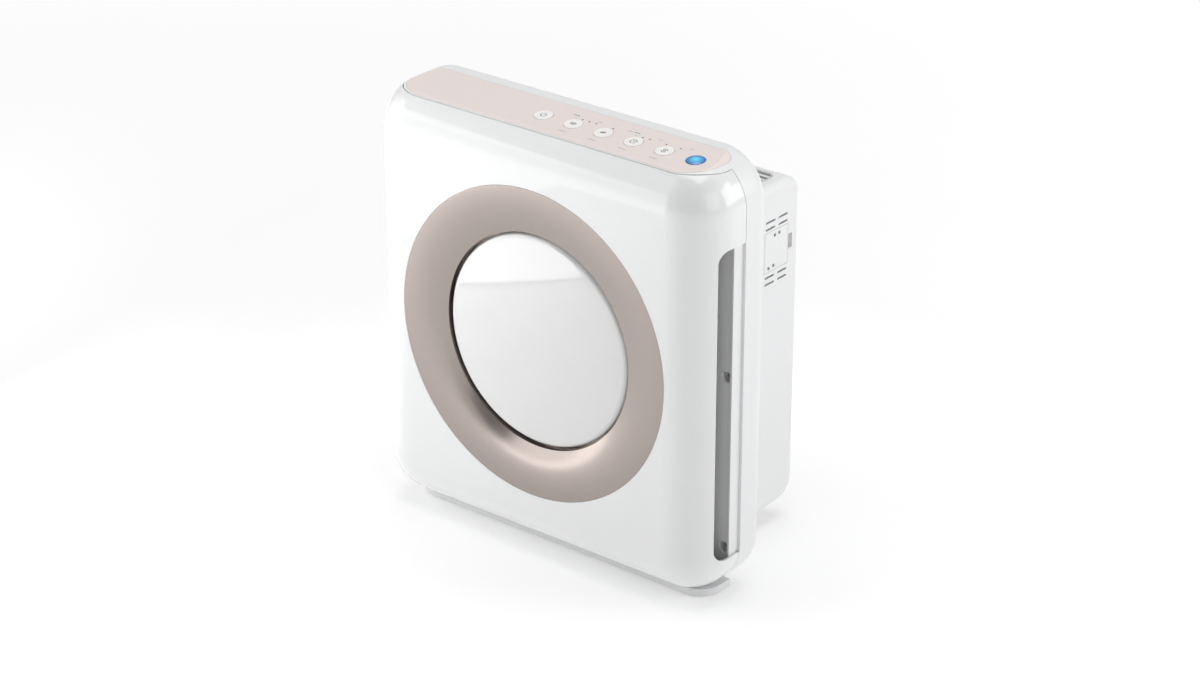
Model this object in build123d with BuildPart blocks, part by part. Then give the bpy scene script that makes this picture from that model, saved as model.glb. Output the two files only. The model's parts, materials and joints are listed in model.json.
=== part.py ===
from build123d import *
import os
from math import cos, degrees, pi, radians, sin, sqrt, tan

os.makedirs("parts", exist_ok=True)

# Air purifier, free standing. Millimetres. X to the right seen from the front, Y to the back,
# Z up. The origin is on the floor, under the middle of the width and of the depth.

# --- Overall sizes -------------------------------------------------------------------------
WIDTH = 427.0
DEPTH = 244.0
HEIGHT = 465.0
FRONT_Y = -DEPTH / 2
BACK_Y = DEPTH / 2

# --- Front body: a pillow-shaped block, split into the cover and the housing ---------------
BODY_BOTTOM = 10.0          # underside of the body above the floor
BODY_TOP = HEIGHT + 1.0     # the block before the sloping panel facet trims it to HEIGHT
BODY_BACK_Y = -16.5
SEAM_Y = -60.0              # where the front cover meets the housing
SEAM_GAP = 0.6
CORNER_R = 50.0             # corners seen from the front
FRONT_R = 48.0              # roll of the front edges
BACK_R = 24.0               # roll of the housing's back edges
WALL = 2.5
PANEL_TILT = 6.0            # the control panel slopes down to the front, degrees

# --- Ring and disc on the cover ------------------------------------------------------------
RING_Z = 237.5
RING_R = 165.0
RING_EYE_R = 114.6          # inner edge of the bell-shaped ring
RING_DEPTH = 10.0
RING_WALL = 2.0
PAN_Y = FRONT_Y + 25.0      # floor of the pan behind the disc
DISC_R = 112.5
DISC_FRONT_Y = FRONT_Y + 3.5
DISC_CROWN = 7.5            # rise of the domed face
DISC_EDGE_R = 6.0

# --- Side air inlets -----------------------------------------------------------------------
INLET_FRONT_Y = -96.0
INLET_LOW_Z = 54.0
INLET_HIGH_Z = 385.0
INLET_CORNER_R = 13.0

# --- Lip, filter bay and filters -----------------------------------------------------------
LIP_FRONT_Y = -74.5
LIP_INSET = WALL + 0.4
LIP_WALL = 2.5
FLANGE_Y = -73.0            # front of the grey flange round the filter bay
FLANGE_WALL = 2.5
FLANGE_TOP_Z = 430.0
BAY_HALF_W = 188.0
BAY_LOW_Z = 36.0
BAY_HIGH_Z = 398.0
BAY_R = 14.0
BAY_BACK_Y = BODY_BACK_Y - WALL - 0.5
FILTER_GAP = 1.5            # all round each filter, in the bay
MAGNET_XZ = [(-150, 414), (150, 414), (-150, 27), (150, 27)]
BAY_SCREW_XZ = [(side * 203.0, z) for side in (-1, 1) for z in (62.0, 246.5, 420.0)]

# --- Control panel -------------------------------------------------------------------------
PANEL_FRONT_Y = -102.4
PANEL_REAR_Y = -45.0
PANEL_HALF_W = 189.0
PANEL_FRONT_R = 30.0        # corners in plan
PANEL_REAR_R = 12.0
PANEL_THICK = 1.4
TONGUE_HALF_W = 195.0       # the housing's roof that reaches forward over the cover
TONGUE_FRONT_Y = -103.6
TONGUE_R = 36.0
BUTTON_X = [-19.3, 17.5, 54.3, 91.1, 127.9]
BUTTON_NAMES = ["power", "speed", "ionizer", "timer", "filter_reset"]
LENS_X = 164.8
BUTTON_R = 9.5
BUTTON_GAP = 0.35
BUTTON_TRAVEL = 0.8
BUTTON_ROW = -1.9           # the buttons sit just in front of the panel's centre line
PIPE_R = 0.9
PIPE_ROW = 10.0             # indicator dots, up the slope from the buttons
PIPE_X = [11.3, 19.7, 28.1, 36.5, 57.1, 84.5, 93.0, 101.5, 121.2, 138.5]

# --- Rear body -----------------------------------------------------------------------------
REAR_HALF_W = 147.3
REAR_TOP_Z = 380.0
REAR_LOW_FRONT_Z = 16.0
REAR_LOW_BACK_Z = 23.0
REAR_EDGE_R = 8.0
REAR_TOP_R = 18.0
REAR_LOW_R = 24.0
GRILLE_HALF_W = 132.0
GRILLE_FRONT_Y = -6.0
GRILLE_BACK_Y = 103.0
GRILLE_R = 11.0
DUCT_HALF_W = 126.0         # the fan's outlet duct under the grille
DOOR_Y = (65.2, 101.6)      # hinge axis, then free edge
DOOR_Z = (290.4, 332.6)
DOOR_GAP = 0.4
DOOR_KNUCKLE_R = 2.7
DOOR_PIN_R = 1.5
DOOR_PIN_LEN = 3.0
HINGE_CLEARANCE = 0.05
HANDLE_HALF_W = 58.0
HANDLE_Z = (318.0, 350.0)
HANDLE_DEPTH = 22.0

# --- Fan -----------------------------------------------------------------------------------
FAN_X = -6.0
FAN_Z = 160.0
IMPELLER_R = 102.0
IMPELLER_Y = (3.0, 80.0)
BLADES = 40
ORIFICE_SEAT_R = 104.0
ORIFICE_R = 78.0
SCROLL_Y = (-13.0, 90.0)
SCROLL_WALL = 2.0
SCROLL_START_R = 109.0
SCROLL_END_R = 133.0
CUTOFF_ANGLE = 58.0
MOTOR_R = 41.0
MOTOR_Y = (40.0, 88.0)
SHAFT_R = 4.0
BEARING_R = 11.0
BEARING_WIDTH = 7.0
SHAFT_CLEARANCE = 0.03

# --- Base ----------------------------------------------------------------------------------
FOOT_HALF_W = 191.3
FOOT_FRONT_Y = -85.5
FOOT_BACK_Y = -45.0
FOOT_R = 25.0
FOOT_TOP_Z = BODY_BOTTOM - 0.6
FOOT_LIFT = 1.5             # the rubber feet stand this far out of the base
STEM_HALF_W = 100.0
STEM_BACK_Y = 96.0
PAD_R = 11.0
PAD_XY = [(-165, -66), (165, -66), (-82, 80), (82, 80)]


def front_plane(y):
    """Plane facing the front at depth y: its x is X and its y is Z."""
    return Plane.XZ.offset(-y)


def turning(x, z):
    """Plane for a turned profile about an axis along Y: its x is the radius, its y is Y."""
    return Plane(origin=(x, 0, z), x_dir=(1, 0, 0), z_dir=(0, 0, 1))


def depth_axis(x, z):
    return Axis((x, 0, z), (0, 1, 0))


def finish(piece, name):
    piece.part.label = name
    export_step(piece.part, f"parts/{name}.step")


# The sloping facet passes through the housing's crest, where it meets the back roll.
TILT = radians(PANEL_TILT)
CREST_DROP = BACK_R - (BODY_TOP - HEIGHT)
CREST_Y = BODY_BACK_Y - BACK_R + sqrt(BACK_R**2 - CREST_DROP**2)


def facet_z(y, drop=0.0):
    """Height of the sloping facet at depth y, lowered square to itself by drop."""
    return HEIGHT + (y - CREST_Y) * tan(TILT) - drop / cos(TILT)


def dome(x, radius, crown):
    """How far a spherical cap of that radius and crown has fallen away at x."""
    sphere = (radius**2 + crown**2) / (2 * crown)
    return sphere - sqrt(sphere**2 - x**2)


def body_block(inset):
    """The whole front body as one solid, shrunk by inset on every side."""
    height = BODY_TOP - BODY_BOTTOM - 2 * inset
    with BuildPart() as block:
        with BuildSketch(front_plane(BODY_BACK_Y - inset)):
            with Locations((0, (BODY_TOP + BODY_BOTTOM) / 2)):
                RectangleRounded(WIDTH - 2 * inset, height, CORNER_R - inset)
        extrude(amount=BODY_BACK_Y - FRONT_Y - 2 * inset)
        fillet(block.faces().sort_by(Axis.Y)[0].edges(), FRONT_R - inset)
        fillet(block.faces().sort_by(Axis.Y)[-1].edges(), BACK_R - inset)
        with BuildSketch(Plane.YZ.offset(-WIDTH / 2)):
            with BuildLine():
                Polyline(
                    (FRONT_Y - 10, facet_z(FRONT_Y - 10, inset)),
                    (0, facet_z(0, inset)),
                    (0, HEIGHT + 20),
                    (FRONT_Y - 10, HEIGHT + 20),
                    close=True,
                )
            make_face()
        extrude(amount=WIDTH, mode=Mode.SUBTRACT)
    return block.part


def tongue_prism(gap):
    """Plan of the roof that reaches over the cover, as a tall prism, grown by gap."""
    front = TONGUE_FRONT_Y - gap
    half_w = TONGUE_HALF_W + gap
    with BuildPart() as prism:
        with BuildSketch(Plane.XY.offset(BODY_TOP - 40)) as plan:
            with Locations((0, (front + SEAM_Y + 6) / 2)):
                Rectangle(2 * half_w, SEAM_Y + 6 - front)
            fillet(plan.vertices().group_by(Axis.Y)[0], TONGUE_R)
        extrude(amount=60)
    return prism.part


def panel_prism(gap):
    """Plan of the control panel, as a tall prism, grown by gap."""
    with BuildPart() as prism:
        with BuildSketch(Plane.XY.offset(BODY_TOP - 40)) as plan:
            with Locations((0, (PANEL_FRONT_Y + PANEL_REAR_Y) / 2)):
                Rectangle(2 * (PANEL_HALF_W + gap), PANEL_REAR_Y - PANEL_FRONT_Y + 2 * gap)
            fillet(plan.vertices().group_by(Axis.Y)[0], PANEL_FRONT_R + gap)
            fillet(plan.vertices().group_by(Axis.Y)[-1], PANEL_REAR_R + gap)
        extrude(amount=60)
    return prism.part


def panel_skin(gap):
    """The sheet that follows the body's top inside the panel's plan, grown by gap."""
    with BuildPart() as skin:
        add(outer_body)
        add(body_block(PANEL_THICK + gap / 2), mode=Mode.SUBTRACT)
        add(panel_prism(gap), mode=Mode.INTERSECT)
    return skin.part


def slab(y_front, y_back, z_low=-5.0, z_high=HEIGHT + 20):
    """A full-width block between two depths, for trimming."""
    with BuildPart() as block:
        with BuildSketch(front_plane(y_back)):
            with Locations((0, (z_low + z_high) / 2)):
                Rectangle(WIDTH + 20, z_high - z_low)
        extrude(amount=y_back - y_front)
    return block.part


def panel_holes(gap):
    """Drills for the buttons, the lens and the indicator dots, grown by gap."""
    with BuildPart() as drills:
        with BuildSketch(panel_plane.offset(-12)):
            with Locations(*[(x, BUTTON_ROW) for x in BUTTON_X + [LENS_X]]):
                Circle(BUTTON_R + BUTTON_GAP + gap)
            with Locations(*[(x, PIPE_ROW) for x in PIPE_X]):
                Circle(PIPE_R + gap)
        extrude(amount=14)
    return drills.part


outer_body = body_block(0)
inner_body = body_block(WALL)

panel_mid_y = (PANEL_FRONT_Y + PANEL_REAR_Y) / 2
panel_plane = Plane(
    origin=(0, panel_mid_y, facet_z(panel_mid_y)),
    x_dir=(1, 0, 0),
    z_dir=(0, -sin(TILT), cos(TILT)),
)


# ============================ Front cover ==================================================
with BuildPart() as front_cover:
    add(outer_body)
    add(inner_body, mode=Mode.SUBTRACT)
    # posts for the magnets that hold the cover on
    with BuildSketch(front_plane(-78.0)):
        with Locations(*MAGNET_XZ):
            Circle(6.5)
    extrude(amount=-78.0 - FRONT_Y)
    with BuildSketch(front_plane(-78.0)):
        with Locations(*MAGNET_XZ):
            Circle(4.6)
    extrude(amount=2.2, mode=Mode.SUBTRACT)
    add(outer_body, mode=Mode.INTERSECT)
    add(slab(SEAM_Y - SEAM_GAP, BACK_Y), mode=Mode.SUBTRACT)
    add(tongue_prism(SEAM_GAP), mode=Mode.SUBTRACT)
    # the two side inlets, open at the seam
    with BuildSketch(Plane.YZ.offset(-WIDTH / 2)) as inlet:
        with Locations(((INLET_FRONT_Y + SEAM_Y + 4) / 2, (INLET_LOW_Z + INLET_HIGH_Z) / 2)):
            Rectangle(SEAM_Y + 4 - INLET_FRONT_Y, INLET_HIGH_Z - INLET_LOW_Z)
        fillet(inlet.vertices().group_by(Axis.X)[0], INLET_CORNER_R)
    extrude(amount=WIDTH, mode=Mode.SUBTRACT)
    # seat of the ring
    with BuildSketch(front_plane(FRONT_Y + WALL + 1)):
        with Locations((0, RING_Z)):
            Circle(RING_R + 0.3)
    extrude(amount=WALL + 2, mode=Mode.SUBTRACT)
finish(front_cover, "front_cover")

with BuildPart() as cover_magnets:
    with BuildSketch(front_plane(-78.1)):
        with Locations(*MAGNET_XZ):
            Circle(4.5)
    extrude(amount=2.0)
finish(cover_magnets, "cover_magnets")

# The ring rolls in from the face like a bell mouth and ends in a closed pan behind the disc.
BELL_R = ((RING_R - RING_EYE_R) ** 2 + RING_DEPTH**2) / (2 * RING_DEPTH)
bell_centre = (RING_R, FRONT_Y + BELL_R)


def bell_point(radius_of_arc, r):
    return (r, bell_centre[1] - sqrt(radius_of_arc**2 - (RING_R - r) ** 2))


RING_FLANGE_Y = FRONT_Y + 2.8
RING_STEP_R = 160.0
with BuildPart() as cover_ring:
    with BuildSketch(turning(0, RING_Z)):
        with BuildLine():
            inner_r = RING_EYE_R + RING_WALL
            mid_r = (RING_R + RING_EYE_R) / 2
            eye = bell_point(BELL_R, RING_EYE_R)
            step = bell_point(BELL_R - RING_WALL, RING_STEP_R)
            back = bell_point(BELL_R - RING_WALL, inner_r)
            ThreePointArc((RING_R, FRONT_Y), bell_point(BELL_R, mid_r), eye)
            Polyline(eye, (RING_EYE_R, PAN_Y), (0, PAN_Y), (0, PAN_Y + 2), (inner_r, PAN_Y + 2), back)
            ThreePointArc(back, bell_point(BELL_R - RING_WALL, mid_r), step)
            Polyline(
                step,
                (RING_STEP_R, RING_FLANGE_Y + 2),
                (RING_R + 5, RING_FLANGE_Y + 2),
                (RING_R + 5, RING_FLANGE_Y),
                (RING_R, RING_FLANGE_Y),
                (RING_R, FRONT_Y),
            )
        make_face()
    revolve(axis=depth_axis(0, RING_Z))
finish(cover_ring, "cover_ring")

# The disc is a shallow domed cap on a central hub.
DISC_SKIRT_Y = PAN_Y - 1.0
DISC_RIM_Y = DISC_FRONT_Y + DISC_CROWN
DISC_HUB_R = 22.0
with BuildPart() as cover_disc:
    with BuildSketch(turning(0, RING_Z)) as profile:
        with BuildLine():
            inner_r = DISC_R - WALL
            inner_y = DISC_FRONT_Y + WALL
            dome_mid = (DISC_R / 2, DISC_FRONT_Y + dome(DISC_R / 2, DISC_R, DISC_CROWN))
            inner_mid = (inner_r / 2, inner_y + dome(inner_r / 2, inner_r, DISC_CROWN))
            inner_rim = (inner_r, inner_y + DISC_CROWN)
            ThreePointArc((0, DISC_FRONT_Y), dome_mid, (DISC_R, DISC_RIM_Y))
            Polyline((DISC_R, DISC_RIM_Y), (DISC_R, DISC_SKIRT_Y), (inner_r, DISC_SKIRT_Y), inner_rim)
            ThreePointArc(inner_rim, inner_mid, (0, inner_y))
            Line((0, inner_y), (0, DISC_FRONT_Y))
        make_face()
        fillet(profile.vertices().sort_by(Axis.X)[-2:].sort_by(Axis.Y)[0], DISC_EDGE_R)
    revolve(axis=depth_axis(0, RING_Z))
    with BuildSketch(front_plane(PAN_Y)):
        with Locations((0, RING_Z)):
            Circle(DISC_HUB_R)
            Circle(DISC_HUB_R - WALL, mode=Mode.SUBTRACT)
    extrude(amount=PAN_Y - DISC_FRONT_Y - 1.5)
finish(cover_disc, "cover_disc")


# ============================ Main housing =================================================
with BuildPart() as roof_tongue:
    add(outer_body)
    add(tongue_prism(0), mode=Mode.INTERSECT)

with BuildPart() as under_roof_space:
    with BuildSketch(Plane.XY.offset(BODY_TOP - 30)):
        with Locations((0, LIP_FRONT_Y)):
            Rectangle(2 * TONGUE_HALF_W + 4, 60)
    extrude(amount=60)
under_roof = under_roof_space.part
lip_outer = body_block(LIP_INSET)
lip_inner = body_block(LIP_INSET + LIP_WALL)
with BuildPart() as lip:
    add(lip_outer)
    add(lip_inner, mode=Mode.SUBTRACT)
    add(slab(LIP_FRONT_Y, SEAM_Y + 4), mode=Mode.INTERSECT)
    add(under_roof, mode=Mode.SUBTRACT)

with BuildPart() as shoulder:
    add(outer_body)
    add(lip_inner, mode=Mode.SUBTRACT)
    add(slab(SEAM_Y, SEAM_Y + 4), mode=Mode.INTERSECT)
    add(under_roof, mode=Mode.SUBTRACT)

BOSS_Y = FLANGE_Y + FLANGE_WALL + 6.5      # where the flange's screw cups end
with BuildPart() as main_housing:
    add(outer_body)
    add(slab(FRONT_Y - 5, SEAM_Y), mode=Mode.SUBTRACT)
    add(roof_tongue.part)
    add(inner_body, mode=Mode.SUBTRACT)
    add(lip.part)
    add(shoulder.part)
    # bosses for the filter bay's screws
    with BuildSketch(front_plane(BOSS_Y)):
        with Locations(*BAY_SCREW_XZ):
            Circle(4.5)
            Circle(1.5, mode=Mode.SUBTRACT)
    extrude(amount=BOSS_Y + 30.0)
    # ribs that carry those bosses on the side walls
    with BuildSketch(front_plane(BOSS_Y + 1)):
        for x, z in BAY_SCREW_XZ:
            side = 1 if x > 0 else -1
            with Locations((side * (WIDTH / 2 - LIP_INSET - 2.8), z)):
                Rectangle(5.0, 2.0)
    extrude(amount=BOSS_Y + 31.0)
    add(outer_body, mode=Mode.INTERSECT)
    # fan inlet through the back wall
    with BuildSketch(front_plane(BODY_BACK_Y + 1)):
        with Locations((FAN_X, FAN_Z)):
            Circle(ORIFICE_SEAT_R)
    extrude(amount=WALL + 2, mode=Mode.SUBTRACT)
    # recess of the control panel, and its holes
    add(panel_skin(0.2), mode=Mode.SUBTRACT)
    add(panel_holes(0.15), mode=Mode.SUBTRACT)
finish(main_housing, "main_housing")

# ============================ Grey filter bay ==============================================
BAY_MID_Z = (BAY_LOW_Z + BAY_HIGH_Z) / 2
BAY_H = BAY_HIGH_Z - BAY_LOW_Z
# Everything behind the flange is cut away, but for the tub, the screw cups and magnet seats.
with BuildPart() as behind_flange:
    add(slab(FLANGE_Y + FLANGE_WALL, BOSS_Y + 2))
    with BuildSketch(front_plane(BOSS_Y)) as kept:
        with Locations((0, BAY_MID_Z)):
            RectangleRounded(2 * BAY_HALF_W, BAY_H, BAY_R)
        with Locations(*BAY_SCREW_XZ):
            Circle(7.2)
        with Locations(*MAGNET_XZ):
            Circle(6.2)
    extrude(amount=BOSS_Y - FLANGE_Y, mode=Mode.SUBTRACT)

with BuildPart() as filter_bay:
    # flange inside the lip
    add(body_block(LIP_INSET + LIP_WALL + 0.3))
    add(slab(FLANGE_Y, BOSS_Y, 0, FLANGE_TOP_Z), mode=Mode.INTERSECT)
    add(behind_flange.part, mode=Mode.SUBTRACT)
    # tub
    with BuildSketch(front_plane(BAY_BACK_Y)):
        with Locations((0, BAY_MID_Z)):
            RectangleRounded(2 * BAY_HALF_W, BAY_H, BAY_R)
    extrude(amount=BAY_BACK_Y - FLANGE_Y - 1)
    with BuildSketch(front_plane(BAY_BACK_Y - WALL)):
        with Locations((0, BAY_MID_Z)):
            RectangleRounded(2 * (BAY_HALF_W - WALL), BAY_H - 2 * WALL, BAY_R - WALL)
    extrude(amount=BAY_BACK_Y - WALL - FLANGE_Y, mode=Mode.SUBTRACT)
    with BuildSketch(front_plane(BAY_BACK_Y)):
        with Locations((FAN_X, FAN_Z)):
            Circle(ORIFICE_SEAT_R)
    extrude(amount=WALL, mode=Mode.SUBTRACT)
    # screw cups, sunk behind the flange
    with BuildSketch(front_plane(BOSS_Y - 2.0)):
        with Locations(*BAY_SCREW_XZ):
            Circle(5.75)
    extrude(amount=BOSS_Y - FLANGE_Y, mode=Mode.SUBTRACT)
    with BuildSketch(front_plane(BOSS_Y)):
        with Locations(*BAY_SCREW_XZ):
            Circle(1.9)
    extrude(amount=3.0, mode=Mode.SUBTRACT)
    # pockets for the magnets
    with BuildSketch(front_plane(FLANGE_Y + 2.4)):
        with Locations(*MAGNET_XZ):
            Circle(4.6)
    extrude(amount=4, mode=Mode.SUBTRACT)
finish(filter_bay, "filter_bay")

with BuildPart() as bay_magnets:
    with BuildSketch(front_plane(FLANGE_Y + 2.3)):
        with Locations(*MAGNET_XZ):
            Circle(4.5)
    extrude(amount=2.2)
finish(bay_magnets, "bay_magnets")

with BuildPart() as bay_screws:
    with BuildSketch(front_plane(BOSS_Y - 2.0)):
        with Locations(*BAY_SCREW_XZ):
            Circle(3.6)
            Rectangle(4.4, 0.9, mode=Mode.SUBTRACT)
            Rectangle(0.9, 4.4, mode=Mode.SUBTRACT)
    extrude(amount=2.4)
    with BuildSketch(front_plane(BOSS_Y + 9.0)):
        with Locations(*BAY_SCREW_XZ):
            Circle(1.5)
    extrude(amount=12.0)
finish(bay_screws, "bay_screws")

# Guard across the fan inlet: concentric hoops on crossing bars.
with BuildPart() as inlet_guard:
    with BuildSketch(front_plane(BODY_BACK_Y)):
        with Locations((FAN_X, FAN_Z)):
            for ring_r in range(14, 98, 14):
                Circle(ring_r + 1.0)
                Circle(ring_r - 1.0, mode=Mode.SUBTRACT)
    extrude(amount=2.0)
    with BuildSketch(front_plane(BODY_BACK_Y)):
        with Locations((FAN_X, FAN_Z)):
            Circle(ORIFICE_SEAT_R - 0.3)
            Circle(ORIFICE_SEAT_R - 7.0, mode=Mode.SUBTRACT)
            with PolarLocations(0, 4, start_angle=22.5, angular_range=180):
                Rectangle(2 * (ORIFICE_SEAT_R - 4.0), 2.4)
    extrude(amount=2.0)
finish(inlet_guard, "inlet_guard")

# ============================ Filters ======================================================
FILTER_W = 2 * (BAY_HALF_W - WALL - FILTER_GAP)
FILTER_H = BAY_H - 2 * (WALL + FILTER_GAP)
PREFILTER_Y = (-72.0, -66.0)
CARBON_Y = (-65.0, -55.5)
HEPA_Y = (-54.3, -22.5)


def filter_frame(y_front, y_back, border):
    """Open rectangular frame that slides in the bay."""
    with BuildPart() as frame:
        with BuildSketch(front_plane(y_back)):
            with Locations((0, BAY_MID_Z)):
                RectangleRounded(FILTER_W, FILTER_H, BAY_R - WALL - FILTER_GAP)
                Rectangle(FILTER_W - 2 * border, FILTER_H - 2 * border, mode=Mode.SUBTRACT)
        extrude(amount=y_back - y_front)
    return frame.part


with BuildPart() as prefilter_frame:
    add(filter_frame(*PREFILTER_Y, 9.0))
    # a coarse grid of ribs holds the mesh flat
    with BuildSketch(front_plane(PREFILTER_Y[1] - 1.0)):
        for x in (-FILTER_W / 6, FILTER_W / 6):
            with Locations((x, BAY_MID_Z)):
                Rectangle(3.0, FILTER_H - 10)
        for z in (-FILTER_H / 4, 0, FILTER_H / 4):
            with Locations((0, BAY_MID_Z + z)):
                Rectangle(FILTER_W - 10, 3.0)
    extrude(amount=1.8)
finish(prefilter_frame, "prefilter_frame")

with BuildPart() as prefilter_mesh:
    with BuildSketch(front_plane(PREFILTER_Y[0] + 2.4)):
        with Locations((0, BAY_MID_Z)):
            Rectangle(FILTER_W - 18.2, FILTER_H - 18.2)
    extrude(amount=0.6)
finish(prefilter_mesh, "prefilter_mesh")

with BuildPart() as carbon_frame:
    add(filter_frame(*CARBON_Y, 8.0))
finish(carbon_frame, "carbon_frame")

with BuildPart() as carbon_media:
    with BuildSketch(front_plane(CARBON_Y[1] - 1.0)):
        with Locations((0, BAY_MID_Z)):
            Rectangle(FILTER_W - 16.2, FILTER_H - 16.2)
    extrude(amount=7.5)
finish(carbon_media, "carbon_media")

with BuildPart() as hepa_frame:
    add(filter_frame(*HEPA_Y, 6.0))
finish(hepa_frame, "hepa_frame")

with BuildPart() as hepa_media:
    with BuildSketch(front_plane(HEPA_Y[1] - 1.5)):
        with Locations((0, BAY_MID_Z)):
            Rectangle(FILTER_W - 12.2, FILTER_H - 12.2)
    extrude(amount=28.5)
finish(hepa_media, "hepa_media")

with BuildPart() as hepa_pull_tabs:
    with BuildSketch(front_plane(HEPA_Y[0])):
        with Locations((-90, BAY_HIGH_Z - 32), (90, BAY_HIGH_Z - 32)):
            RectangleRounded(22.0, 50.0, 5.0)
    extrude(amount=0.6)
finish(hepa_pull_tabs, "hepa_pull_tabs")

# ============================ Control panel ================================================
with BuildPart() as control_panel:
    add(panel_skin(0))
    add(panel_holes(0), mode=Mode.SUBTRACT)
finish(control_panel, "control_panel")

BUTTON_TOP = 0.5            # the caps stand this far above the panel
FLANGE_DROP = 3.9           # top of each cap's flange, under the roof skin
FLANGE_THICK = 1.2
FLANGE_REACH = 1.2          # how far the flange stands out beyond the cap
for name, x in zip(BUTTON_NAMES, BUTTON_X):
    with BuildPart() as button:
        with BuildSketch(panel_plane.offset(-FLANGE_DROP)):
            with Locations((x, BUTTON_ROW)):
                Circle(BUTTON_R)
        extrude(amount=FLANGE_DROP + BUTTON_TOP)
        fillet(button.edges().group_by(Axis.Z)[-1], 0.4)
        with BuildSketch(panel_plane.offset(-FLANGE_DROP - FLANGE_THICK)):
            with Locations((x, BUTTON_ROW)):
                Circle(BUTTON_R + FLANGE_REACH)
        extrude(amount=FLANGE_THICK)
    finish(button, name + "_button")

LENS_TOP = 1.3
LENS_CROWN = 1.0
# The air quality lens glows through a slightly domed top.
with BuildPart() as air_quality_lens:
    lens_plane = Plane(
        origin=panel_plane.from_local_coords((LENS_X, BUTTON_ROW, 0)),
        x_dir=panel_plane.x_dir,
        z_dir=-panel_plane.y_dir,
    )
    with BuildSketch(lens_plane):
        with BuildLine():
            Polyline(
                (0, LENS_TOP),
                (0, -5.0),
                (BUTTON_R + FLANGE_REACH, -5.0),
                (BUTTON_R + FLANGE_REACH, -3.8),
                (BUTTON_R, -3.8),
                (BUTTON_R, LENS_TOP - LENS_CROWN),
            )
            lens_mid = (BUTTON_R / 2, LENS_TOP - dome(BUTTON_R / 2, BUTTON_R, LENS_CROWN))
            ThreePointArc((BUTTON_R, LENS_TOP - LENS_CROWN), lens_mid, (0, LENS_TOP))
        make_face()
    revolve(axis=Axis(lens_plane.origin, panel_plane.z_dir))
finish(air_quality_lens, "air_quality_lens")

with BuildPart() as indicator_light_pipes:
    with BuildSketch(panel_plane.offset(-7.5)):
        with Locations(*[(x, PIPE_ROW) for x in PIPE_X]):
            Circle(PIPE_R)
    extrude(amount=7.6)
finish(indicator_light_pipes, "indicator_light_pipes")

# Circuit board in a tray under the roof.
BOARD_X = (-46.0, 182.0)
BOARD_HALF_D = 20.0
BOARD_DROP = 9.6
TRAY_DROP = 14.5
TRAY_TOP = WALL + 0.1
board_mid = (BOARD_X[0] + BOARD_X[1]) / 2
board_w = BOARD_X[1] - BOARD_X[0]
BOARD_SCREW_XY = [(x, y) for x in (-40.0, 4.0, 176.0) for y in (-16.0, 16.0)]
with BuildPart() as panel_board:
    with BuildSketch(panel_plane.offset(-BOARD_DROP)):
        with Locations((board_mid, 0)):
            Rectangle(board_w, 2 * BOARD_HALF_D)
        with Locations(*BOARD_SCREW_XY):
            Circle(1.6, mode=Mode.SUBTRACT)
    extrude(amount=1.6)
finish(panel_board, "panel_board")

SWITCH_TOP = FLANGE_DROP + FLANGE_THICK + BUTTON_TRAVEL + 0.15
with BuildPart() as tact_switches:
    with BuildSketch(panel_plane.offset(-BOARD_DROP + 1.6)):
        with Locations(*[(x, BUTTON_ROW) for x in BUTTON_X]):
            Rectangle(6.0, 6.0)
    extrude(amount=1.0)
    with BuildSketch(panel_plane.offset(-BOARD_DROP + 2.6)):
        with Locations(*[(x, BUTTON_ROW) for x in BUTTON_X]):
            Circle(1.7)
    extrude(amount=BOARD_DROP - 2.6 - SWITCH_TOP)
finish(tact_switches, "tact_switches")

with BuildPart() as panel_tray:
    with BuildSketch(panel_plane.offset(-TRAY_DROP)):
        with Locations((board_mid, 0)):
            RectangleRounded(board_w + 8, 2 * BOARD_HALF_D + 8, 4.0)
    extrude(amount=TRAY_DROP - TRAY_TOP)
    with BuildSketch(panel_plane.offset(-TRAY_DROP + 2)):
        with Locations((board_mid, 0)):
            RectangleRounded(board_w + 4, 2 * BOARD_HALF_D + 4, 2.0)
    extrude(amount=TRAY_DROP, mode=Mode.SUBTRACT)
    with BuildSketch(panel_plane.offset(-TRAY_DROP + 1)):
        with Locations(*BOARD_SCREW_XY):
            Circle(2.8)
            Circle(1.1, mode=Mode.SUBTRACT)
    extrude(amount=TRAY_DROP - BOARD_DROP - 1)
    add(body_block(WALL + 0.2), mode=Mode.INTERSECT)
finish(panel_tray, "panel_tray")

with BuildPart() as board_screws:
    with BuildSketch(panel_plane.offset(-BOARD_DROP + 1.6)):
        with Locations(*BOARD_SCREW_XY):
            Circle(2.5)
            Rectangle(3.2, 0.7, mode=Mode.SUBTRACT)
            Rectangle(0.7, 3.2, mode=Mode.SUBTRACT)
    extrude(amount=1.5)
    with BuildSketch(panel_plane.offset(-BOARD_DROP - 2.7)):
        with Locations(*BOARD_SCREW_XY):
            Circle(1.1)
    extrude(amount=4.3)
finish(board_screws, "board_screws")

# ============================ Rear body ====================================================
def rear_low_z(y):
    """The underside of the rear body rises a little to the back."""
    share = (y - BODY_BACK_Y) / (BACK_Y - BODY_BACK_Y)
    return REAR_LOW_FRONT_Z + share * (REAR_LOW_BACK_Z - REAR_LOW_FRONT_Z)


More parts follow.
